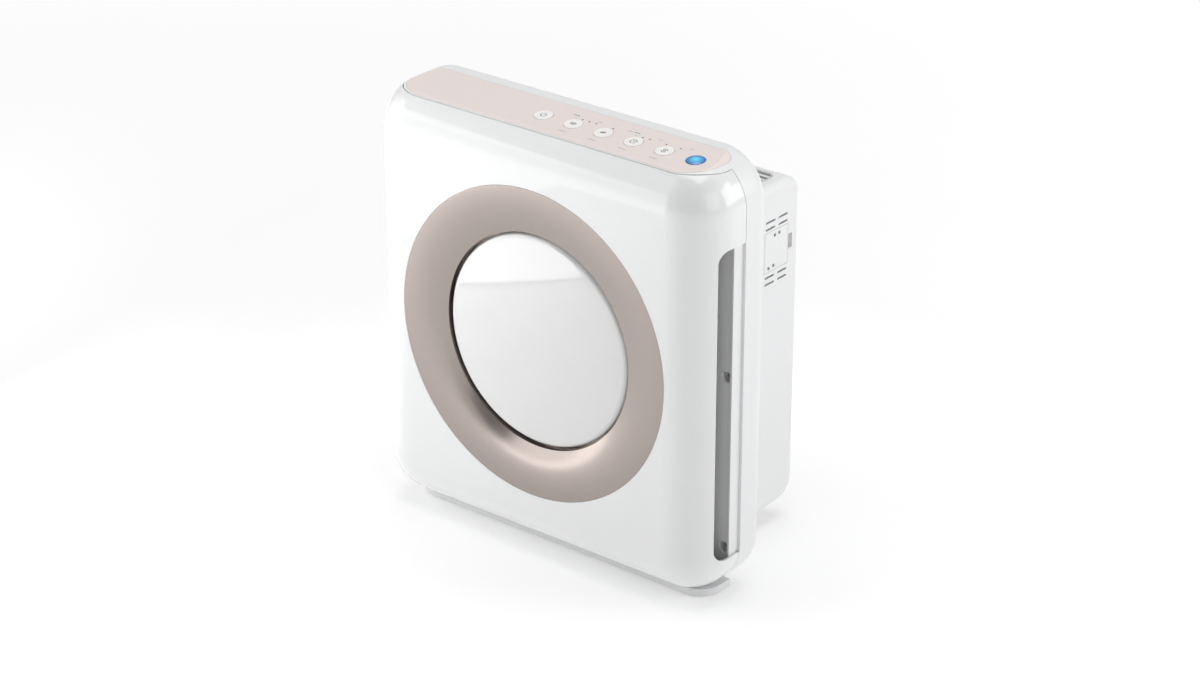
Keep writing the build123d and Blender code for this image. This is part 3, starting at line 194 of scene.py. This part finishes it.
# ---------------------------------------------------------------- finishes
WHITE = (0.775, 0.78, 0.785)
shell_white = moulded("shell_white", WHITE, 0.30, Coat_Weight=0.9, Coat_Roughness=0.05)
housing_white = moulded("housing_white", WHITE, 0.34, Coat_Weight=0.15, Coat_Roughness=0.2)
rear_white = moulded("rear_white", WHITE, 0.42, grain=0.8 * MM, depth=0.012 * MM)
base_white = moulded("base_white", shade(WHITE, 0.97), 0.45, grain=0.8 * MM, depth=0.012 * MM)
disc_white = moulded(
    "disc_white",
    (0.69, 0.69, 0.69),
    0.10,
    depth=0.001 * MM,
    Coat_Weight=1.0,
    Coat_IOR=1.7,
    Coat_Roughness=0.04,
)
key_white = moulded("key_white", (0.86, 0.85, 0.84), 0.35, edge=0.3 * MM)
bay_grey = moulded("bay_grey", (0.45, 0.455, 0.46), 0.5, grain=0.9 * MM, depth=0.02 * MM)
bay_pale = moulded("bay_pale", (0.88, 0.885, 0.89), 0.5, grain=0.9 * MM, depth=0.02 * MM)
frame_grey = moulded("frame_grey", (0.36, 0.365, 0.37), 0.5, grain=0.7 * MM, depth=0.015 * MM)
grille_grey = moulded("grille_grey", (0.66, 0.665, 0.67), 0.45, grain=0.7 * MM, depth=0.01 * MM)
card_white = moulded("card_white", (0.74, 0.75, 0.76), 0.65, grain=1.6 * MM, depth=0.03 * MM)
fan_black = moulded("fan_black", (0.045, 0.046, 0.05), 0.42, grain=0.6 * MM, depth=0.02 * MM)
part_black = moulded("part_black", (0.03, 0.03, 0.033), 0.4, grain=0.5 * MM, depth=0.02 * MM)
post_white = moulded("post_white", (0.7, 0.71, 0.72), 0.5)
rubber = moulded("rubber", (0.035, 0.035, 0.037), 0.75, grain=0.5 * MM, depth=0.03 * MM, mottle=0.1)
ring_paint = painted("ring_paint", (0.345, 0.30, 0.277), 0.17, 0.95).material
panel_paint = painted("panel_paint", (0.82, 0.73, 0.70), 0.42, 0.05)
panel_paint.set(Coat_Weight=0.5, Coat_Roughness=0.25)
steel = turned("steel", (0.62, 0.62, 0.63), 0.3)
nickel = turned("nickel", (0.70, 0.69, 0.66), 0.22)
motor_paint = painted("motor_paint", (0.10, 0.105, 0.11), 0.45, 0.4).material


def laminated():
    """Stacked sheets of a motor core: thin bands along the shaft, with a varnish tint."""
    s = Shader("core_sheets")
    bands = s.add("ShaderNodeTexWave", bands_direction="Y")
    bands.inputs["Scale"].default_value = 1 / (1.6 * MM)
    bands.inputs["Distortion"].default_value = 0.4
    s.link(s.place(), bands.inputs["Vector"])
    varnish = s.blend(bands.outputs["Fac"], (0.16, 0.09, 0.05), (0.32, 0.24, 0.18))
    s.set(Base_Color=varnish, Metallic=0.6)
    s.set(Roughness=s.spread(s.noise(4 * MM), 0.35, 0.6))
    s.relief(bands.outputs["Fac"], 0.05 * MM, 0.2 * MM)
    return s.material


def circuit_board():
    """Solder mask with lighter tracks on a grid and tinned pads."""
    s = Shader("circuit_board")
    where = s.place()
    tracks = s.add("ShaderNodeTexBrick", offset=0.35)
    tracks.inputs["Scale"].default_value = 90.0
    tracks.inputs["Mortar Size"].default_value = 0.035
    s.link(where, tracks.inputs["Vector"])
    pads = s.add("ShaderNodeTexVoronoi")
    pads.inputs["Scale"].default_value = 1 / (5 * MM)
    s.link(where, pads.inputs["Vector"])
    pad = s.spread(pads.outputs["Distance"], 1.0, 0.0, 0.12, 0.16)
    mask = s.blend(tracks.outputs["Fac"], (0.012, 0.10, 0.045), (0.03, 0.20, 0.09))
    s.set(Base_Color=s.blend(pad, mask, (0.55, 0.53, 0.48)), Metallic=pad)
    s.set(Roughness=s.spread(s.noise(3 * MM), 0.25, 0.4))
    s.relief(tracks.outputs["Fac"], 0.03 * MM)
    return s.material


def granules():
    """Black pellets packed between the walls of the cells."""
    s = Shader("carbon_granules")
    pellets = s.add("ShaderNodeTexVoronoi")
    pellets.inputs["Scale"].default_value = 1 / (2.2 * MM)
    s.link(s.place(), pellets.inputs["Vector"])
    s.set(Base_Color=s.blend(s.noise(3 * MM), (0.012, 0.012, 0.013), (0.05, 0.05, 0.052)))
    s.set(Roughness=s.spread(pellets.outputs["Distance"], 0.55, 0.9, 0.0, 0.8))
    s.relief(s.maths("MULTIPLY", pellets.outputs["Distance"], -1.0), 0.9 * MM)
    return s.material


def paper():
    """Glass-fibre filter paper: matted fibres, off-white."""
    s = Shader("filter_paper")
    fibre = s.noise(1.1 * MM, 8, s.stretched((1.0, 1.0, 0.35)))
    s.set(Base_Color=s.blend(fibre, (0.80, 0.80, 0.76), (0.92, 0.92, 0.89)), Sheen_Weight=0.2)
    s.set(Roughness=s.spread(fibre, 0.85, 0.95))
    s.relief(fibre, 0.06 * MM)
    return s.material


def woven(name, colour, pitch=0.6 * MM):
    """Plain weave from two crossed waves."""
    s = Shader(name)
    warp, weft = (s.add("ShaderNodeTexWave", bands_direction=way) for way in ("X", "Z"))
    for wave in (warp, weft):
        wave.inputs["Scale"].default_value = 0.31 / pitch
        s.link(s.place(), wave.inputs["Vector"])
    threads = s.maths("MAXIMUM", warp.outputs["Fac"], weft.outputs["Fac"])
    s.set(Base_Color=s.blend(threads, shade(colour, 0.6), colour), Sheen_Weight=0.3)
    s.set(Roughness=s.spread(threads, 0.75, 0.9))
    s.relief(threads, 0.1 * MM)
    return s.material


def glow_lens(centre, radius):
    """Blue lens, brighter and more cyan toward its middle."""
    s = Shader("lens_blue")
    reach = s.spread(s.distance(centre), 1.0, 0.0, 0.1 * radius, 0.98 * radius)
    grainy = s.maths("ADD", reach, s.spread(s.noise(0.5 * MM, 2), -0.05, 0.05))
    tint = s.blend(grainy, (0.03, 0.10, 0.40), (0.12, 0.58, 0.85))
    strength = s.spread(reach, 0.02, 0.30, 0.0, 1.0)
    s.set(Base_Color=tint, Emission_Color=tint, Emission_Strength=strength)
    s.set(Roughness=s.spread(s.noise(2 * MM), 0.12, 0.2), Coat_Weight=0.5, Coat_Roughness=0.05)
    return s.material


def ink(name, colour):
    """Screen-printed ink, a little uneven at the scale of the screen."""
    s = Shader(name)
    screen = s.noise(0.12 * MM, 2)
    s.set(Base_Color=s.blend(screen, shade(colour, 0.85), shade(colour, 1.1)))
    s.set(Roughness=s.spread(screen, 0.45, 0.6))
    s.relief(screen, 0.003 * MM)
    return s.material


def indicator_dots(lit):
    """Smoked light pipes, of which those round the lit places glow green."""
    s = Shader("indicator_dots")
    near = s.maths("MINIMUM", *(s.distance(place) for place in lit))
    glow = s.spread(near, 1.0, 0.0, 2.0 * MM, 2.4 * MM)
    cloud = s.noise(0.3 * MM, 2)
    smoke = s.blend(cloud, (0.045, 0.045, 0.045), (0.08, 0.08, 0.08))
    green = s.blend(cloud, (0.16, 0.42, 0.05), (0.22, 0.55, 0.08))
    tint = s.blend(glow, smoke, green)
    strength = s.spread(glow, 0.0, 0.5, 0.0, 1.0)
    s.set(Base_Color=tint, Emission_Color=tint, Emission_Strength=strength)
    s.set(Roughness=s.spread(cloud, 0.15, 0.3))
    return s.material


# ---------------------------------------------------------------- the sloping panel
press = next(joint for joint in frame["joints"] if joint["name"] == "power_press")
PANEL_UP = -Vector(press["axis"]).normalized()
PANEL_SIDE = Vector((1, 0, 0))
PANEL_SLOPE = PANEL_UP.cross(PANEL_SIDE)


def top_centre(node):
    """Middle of a node's face that looks out of the panel."""
    points = [vertex.co for vertex in nodes[node].data.vertices]
    height = max(point.dot(PANEL_UP) for point in points)
    rim = [point for point in points if point.dot(PANEL_UP) > height - 0.05 * MM]
    across = [point.dot(PANEL_SIDE) for point in rim]
    along = [point.dot(PANEL_SLOPE) for point in rim]
    middle = ((min(across) + max(across)) / 2, (min(along) + max(along)) / 2)
    return PANEL_SIDE * middle[0] + PANEL_SLOPE * middle[1] + PANEL_UP * height


lens_low, lens_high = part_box("air_quality_lens")
lens_middle = top_centre("air_quality_lens")
lens_blue = glow_lens(lens_middle, (lens_high[0] - lens_low[0]) / 2)
dot_row = top_centre("indicator_light_pipes")
LIT_OFFSET = 6.4 * MM       # the lit dot of a group, left of its key's middle
lit_places = [
    Vector((top_centre(key + "_button").x - LIT_OFFSET, dot_row.y, dot_row.z))
    for key in ("speed", "timer")
]

KEYS = ("power", "speed", "ionizer", "timer", "filter_reset")
finishes = {
    shell_white: ["front_cover"],
    housing_white: ["main_housing", "sensor_door"],
    rear_white: ["rear_housing"],
    base_white: ["base_stand"],
    key_white: [key + "_button" for key in KEYS],
    bay_pale: ["filter_bay"],
    bay_grey: ["panel_tray", "sensor_bracket"],
    frame_grey: ["prefilter_frame"],
    grille_grey: ["outlet_grille"],
    card_white: ["carbon_frame", "hepa_frame"],
    fan_black: ["impeller", "fan_scroll", "inlet_bell", "inlet_guard"],
    part_black: ["tact_switches", "power_parts", "particle_sensor", "ionizer_module"],
    post_white: ["board_posts"],
    rubber: ["rubber_feet", "cord_gland"],
    ring_paint: ["cover_ring"],
    panel_paint.material: ["control_panel"],
    steel: [
        "bay_screws",
        "board_screws",
        "rear_screws",
        "motor_screws",
        "impeller_nut",
        "motor_shaft",
        "motor_bearings",
    ],
    nickel: ["cover_magnets", "bay_magnets"],
    motor_paint: ["motor_housing", "motor_bracket"],
    laminated(): ["motor_rotor", "motor_stator"],
    circuit_board(): ["panel_board", "power_board"],
    granules(): ["carbon_media"],
    woven("tab_weave", (0.42, 0.52, 0.60)): ["hepa_pull_tabs"],
    lens_blue: ["air_quality_lens"],
    indicator_dots(lit_places): ["indicator_light_pipes"],
}
for material, names in finishes.items():
    for name in names:
        nodes[name].data.materials.clear()
        nodes[name].data.materials.append(material)


# ---------------------------------------------------------------- mesh helpers
def piece(name, build, material, body):
    """A new mesh piece, filled by build(bmesh), that rides on a body."""
    shape = bmesh.new()
    build(shape)
    mesh = bpy.data.meshes.new(name)
    shape.to_mesh(mesh)
    shape.free()
    mesh.materials.append(material)
    made = bpy.data.objects.new(name, mesh)
    bpy.context.scene.collection.objects.link(made)
    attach(made, body)
    return made


def slab(shape, low, high):
    """A box between two corners."""
    size = Vector(high) - Vector(low)
    middle = (Vector(high) + Vector(low)) / 2
    place = Matrix.Translation(middle) @ Matrix.Diagonal((*size, 1.0))
    bmesh.ops.create_cube(shape, size=1.0, matrix=place)


def ribbon(shape, points, width, closed=False, lift=0.04 * MM, to_world=None):
    """A flat printed stroke of that width along points, given in the plane of the mark."""
    count = len(points)
    sides = ([], [])
    for i, point in enumerate(points):
        before = points[i - 1] if (closed or i > 0) else point
        after = points[(i + 1) % count] if (closed or i < count - 1) else point
        way = (Vector(after) - Vector(before)).normalized()
        across = Vector((-way.y, way.x)) * width / 2
        for side, sign in zip(sides, (1, -1)):
            x, y = Vector(point) + across * sign
            side.append(shape.verts.new(to_world(x, y, lift)))
    last = count if closed else count - 1
    for i in range(last):
        j = (i + 1) % count
        shape.faces.new((sides[0][i], sides[1][i], sides[1][j], sides[0][j]))


def arc(radius, start, end, steps=24):
    """Points of an arc between two angles in degrees, anticlockwise from the right."""
    angles = [math.radians(start + (end - start) * i / steps) for i in range(steps + 1)]
    return [(radius * math.cos(a), radius * math.sin(a)) for a in angles]


def on_panel(middle):
    """Turns a mark's own x, y and lift into a place on the panel round middle."""
    return lambda x, y, lift: middle + PANEL_SIDE * x + PANEL_SLOPE * y + PANEL_UP * lift


# ---------------------------------------------------------------- printed marks
BOLD, STROKE, PETAL, DASH = 0.75 * MM, 0.72 * MM, 0.9 * MM, 0.8 * MM     # widths of the strokes
ink_grey = ink("ink_grey", (0.05, 0.048, 0.048))


def power_icon(shape, to_world):
    ribbon(shape, arc(2.9 * MM, 120, 420), BOLD, to_world=to_world)
    ribbon(shape, [(0, 1.2 * MM), (0, 3.9 * MM)], BOLD, to_world=to_world)


def speed_icon(shape, to_world):
    for row, length in ((1.7, 3.2), (0.0, 3.8), (-1.7, 2.6)):
        steps = [i / 8 - 1 for i in range(17)]
        wave = [(length * t * MM, (row + 0.35 * math.sin(math.tau * (t + 1))) * MM) for t in steps]
        ribbon(shape, wave, STROKE, to_world=to_world)


def ionizer_icon(shape, to_world):
    for drop in (-1.1, 1.1):
        turns = [math.tau * i / 20 for i in range(20)]
        petal = [
            ((drop + 1.5 * math.cos(a)) * MM, (0.5 * drop + 0.85 * math.sin(a)) * MM)
            for a in turns
        ]
        ribbon(shape, petal, PETAL, closed=True, to_world=to_world)


def timer_icon(shape, to_world):
    ribbon(shape, arc(3.4 * MM, 0, 345), STROKE, to_world=to_world)
    ribbon(shape, [(0, 2.0 * MM), (0, 0), (1.6 * MM, 0)], STROKE, to_world=to_world)


def filter_icon(shape, to_world):
    for start in (20, 200):
        ribbon(shape, arc(3.1 * MM, start, start + 130, 12), STROKE, to_world=to_world)
    ribbon(shape, arc(1.3 * MM, 0, 360, 12), STROKE, to_world=to_world)


bodies = frame["record"]["behaviour"]["bodies"]
icons = dict(zip(KEYS, (power_icon, speed_icon, ionizer_icon, timer_icon, filter_icon)))
for key, draw in icons.items():
    to_world = on_panel(top_centre(key + "_button"))
    body = next(name for name, members in bodies.items() if key + "_button" in members)
    piece(key + "_icon", lambda shape: draw(shape, to_world), ink_grey, body)

DOT_STANDS = 0.1 * MM       # how far the dots stand out of the panel
dot_plane = on_panel(dot_row - PANEL_UP * DOT_STANDS)


def dashes(places):
    """Short plain strokes: left end, distance up the slope from the dots, and length."""

    def build(shape):
        for left, rise, length in places:
            start = left - dot_row.x
            ribbon(shape, [(start, rise), (start + length, rise)], DASH, to_world=dot_plane)

    return build


# a dash starts this far from its key's middle and has this length; the rises are up the slope
UPPER_START, UPPER_RISE, UPPER_LENGTH = -12 * MM, 5 * MM, 7 * MM
BELOW_START, BELOW_DROP, BELOW_LENGTH = -5 * MM, 17 * MM, 9 * MM
ABOVE_START, ABOVE_RISE, ABOVE_LENGTH = 18 * MM, 4.5 * MM, 5 * MM
front_row = (top_centre("speed_button") - dot_row).dot(PANEL_SLOPE) - BELOW_DROP
key_x = [top_centre(key + "_button").x for key in KEYS]
upper = [(key_x[i] + UPPER_START, UPPER_RISE, UPPER_LENGTH) for i in (1, 3)]
below_keys = [(x + BELOW_START, front_row, BELOW_LENGTH) for x in key_x[1:]]
above_dots = [(x + ABOVE_START, ABOVE_RISE, ABOVE_LENGTH) for x in key_x[1:]]
piece("panel_marks_dark", dashes(upper), ink_grey, "housing")
ink_faint = ink("ink_faint", (0.42, 0.37, 0.355))
piece("panel_marks_faint", dashes(below_keys + above_dots), ink_faint, "housing")

# ---------------------------------------------------------------- filter media
media_low, media_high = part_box("hepa_media")


def pleats(shape, pitch=3.6 * MM):
    """Paper folded back and forth through the depth of the cartridge, folds upright."""
    folds = int((media_high[0] - media_low[0]) / pitch) * 2
    step = (media_high[0] - media_low[0]) / folds
    rows = []
    for i in range(folds + 1):
        x = media_low[0] + step * i
        y = (media_low, media_high)[i % 2][1]
        rows.append([shape.verts.new((x, y, z)) for z in (media_low[2], media_high[2])])
    for left, right in zip(rows, rows[1:]):
        shape.faces.new((left[0], right[0], right[1], left[1]))


hepa = piece("hepa_pleats", pleats, paper(), "hepa_filter")
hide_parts("hepa_media")

net_low, net_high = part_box("prefilter_mesh")


def net(shape, pitch=2.4 * MM, thread=0.5 * MM):
    """Moulded net: square threads both ways, those across behind those up and down."""
    middle = (net_low[1] + net_high[1]) / 2
    for i in range(int((net_high[0] - net_low[0]) / pitch) + 1):
        x = net_low[0] + pitch * i
        slab(shape, (x, net_low[1], net_low[2]), (x + thread, middle, net_high[2]))
    for i in range(int((net_high[2] - net_low[2]) / pitch) + 1):
        z = net_low[2] + pitch * i
        slab(shape, (net_low[0], middle, z), (net_high[0], net_high[1], z + thread))


screen = piece("prefilter_net", net, woven("net_grey", (0.06, 0.06, 0.065)), "prefilter")
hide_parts("prefilter_mesh")

# ---------------------------------------------------------------- domed disc
disc_low, disc_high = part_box("cover_disc")
DISC_R = (disc_high[0] - disc_low[0]) / 2
DISC_CROWN = 7.5 * MM
DISC_EDGE_R = 6.0 * MM
DISC_SKIN = 2.5 * MM
DISC_GAP = 1.0 * MM         # between the skirt and the pan behind it
HUB_R = 4.0 * MM
DOME_STEPS, RIM_STEPS = 40, 12


def disc_profile():
    """Radius and depth from the apex: the dome, its rounded rim and the skirt behind."""
    sphere = (DISC_R**2 + DISC_CROWN**2) / (2 * DISC_CROWN)
    lean = math.asin((DISC_R - DISC_EDGE_R) / (sphere - DISC_EDGE_R))
    leans = [lean * i / DOME_STEPS for i in range(1, DOME_STEPS + 1)]
    profile = [(sphere * math.sin(a), sphere * (1 - math.cos(a))) for a in leans]
    rim_depth = sphere - (sphere - DISC_EDGE_R) * math.cos(lean)
    for i in range(1, RIM_STEPS + 1):
        turn = lean + (math.pi / 2 - lean) * i / RIM_STEPS
        reach = DISC_R - DISC_EDGE_R * (1 - math.sin(turn))
        profile.append((reach, rim_depth - DISC_EDGE_R * math.cos(turn)))
    depth = disc_high[1] - disc_low[1] - DISC_GAP
    inner = DISC_R - DISC_SKIN
    return profile + [(DISC_R, depth), (inner, depth), (inner, rim_depth), (HUB_R, DISC_SKIN)]


def domed_disc(shape, around=192):
    middle_x, middle_z = (disc_low[0] + disc_high[0]) / 2, (disc_low[2] + disc_high[2]) / 2
    apex = shape.verts.new((middle_x, disc_low[1], middle_z))
    rings = []
    for radius, depth in disc_profile():
        rings.append([
            shape.verts.new((
                middle_x + radius * math.cos(math.tau * i / around),
                disc_low[1] + depth,
                middle_z + radius * math.sin(math.tau * i / around),
            ))
            for i in range(around)
        ])
    for i in range(around):
        j = (i + 1) % around
        shape.faces.new((apex, rings[0][i], rings[0][j]))
        for near, far in zip(rings, rings[1:]):
            shape.faces.new((near[i], far[i], far[j], near[j]))
    shape.faces.new(rings[-1])
    bmesh.ops.recalc_face_normals(shape, faces=shape.faces)
    for face in shape.faces:
        face.smooth = True


disc = piece("disc_dome", domed_disc, disc_white, "cover")
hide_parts("cover_disc")

# ---------------------------------------------------------------- stage
scene = bpy.context.scene
scene.view_settings.view_transform = "Standard"


def aim(made, place, target):
    made.location = place
    made.rotation_euler = (Vector(target) - Vector(place)).to_track_quat("-Z", "Y").to_euler()


TARGET = Vector((-0.010, 0.0, 0.1984))
DISTANCE = 3.3109
YAW, PITCH = math.radians(38.652), math.radians(25.2675)
level = math.cos(PITCH)
eye = TARGET + DISTANCE * Vector((math.sin(YAW) * level, -math.cos(YAW) * level, math.sin(PITCH)))
camera = bpy.data.objects.new("camera", bpy.data.cameras.new("camera"))
scene.collection.objects.link(camera)
camera.data.sensor_width = 36.0
camera.data.lens = 98.01
camera.data.clip_end = 60.0
aim(camera, eye, TARGET)
scene.camera = camera


def softbox(name, place, target, size, power):
    light = bpy.data.objects.new(name, bpy.data.lights.new(name, "AREA"))
    scene.collection.objects.link(light)
    light.data.shape = "RECTANGLE"
    light.data.size, light.data.size_y = size
    light.data.energy = power
    light.visible_camera = False
    aim(light, place, target)
    return light


MIDDLE = (0.0, 0.0, 0.22)
softbox("side", (-0.62, -0.70, 0.41), (0.0, -0.58, 0.41), (0.95, 0.80), 4.4)
softbox("left", (-1.30, -0.42, 0.41), (0.0, 0.0, 0.41), (0.85, 0.80), 2)
softbox("key", (-1.3, -1.3, 1.6), MIDDLE, (1.4, 1.4), 4)
softbox("top", (0.0, 0.2, 2.2), MIDDLE, (1.8, 1.8), 24)
softbox("right_back", (2.0, 1.2, 1.1), MIDDLE, (1.4, 1.4), 17)
softbox("right_front", (2.4, -0.6, 1.3), MIDDLE, (1.4, 1.6), 9)

world = bpy.data.worlds.new("world")
scene.world = world
world.use_nodes = True
world.node_tree.nodes["Background"].inputs["Color"].default_value = (1.0, 1.0, 1.0, 1.0)
world.node_tree.nodes["Background"].inputs["Strength"].default_value = 0.28


NEAR_GLOW, FAR_GLOW = 0.21, 0.62        # the floor's painted glow: dimmer near the object as painted shade, rising with distance as painted light
GLOW_FROM, GLOW_TO = 0.6, 2.2           # between these distances from the origin


def floor():
    bpy.ops.mesh.primitive_plane_add(size=30.0, location=(0, 0, 0))
    made = bpy.context.object
    made.name = "floor"
    s = Shader("floor_pale")
    s.set(Base_Color=s.blend(s.noise(0.4), (0.86, 0.86, 0.86), (0.88, 0.88, 0.88)), Roughness=0.7)
    # painted light on the floor: its glow is lowest near the object, a painted shade, and rises farther out as
    # painted light
    glow = s.spread(s.distance((0.0, 0.0, 0.0)), NEAR_GLOW, FAR_GLOW, GLOW_FROM, GLOW_TO)
    s.set(Emission_Color=(1.0, 1.0, 1.0), Emission_Strength=glow)
    made.data.materials.append(s.material)


floor()
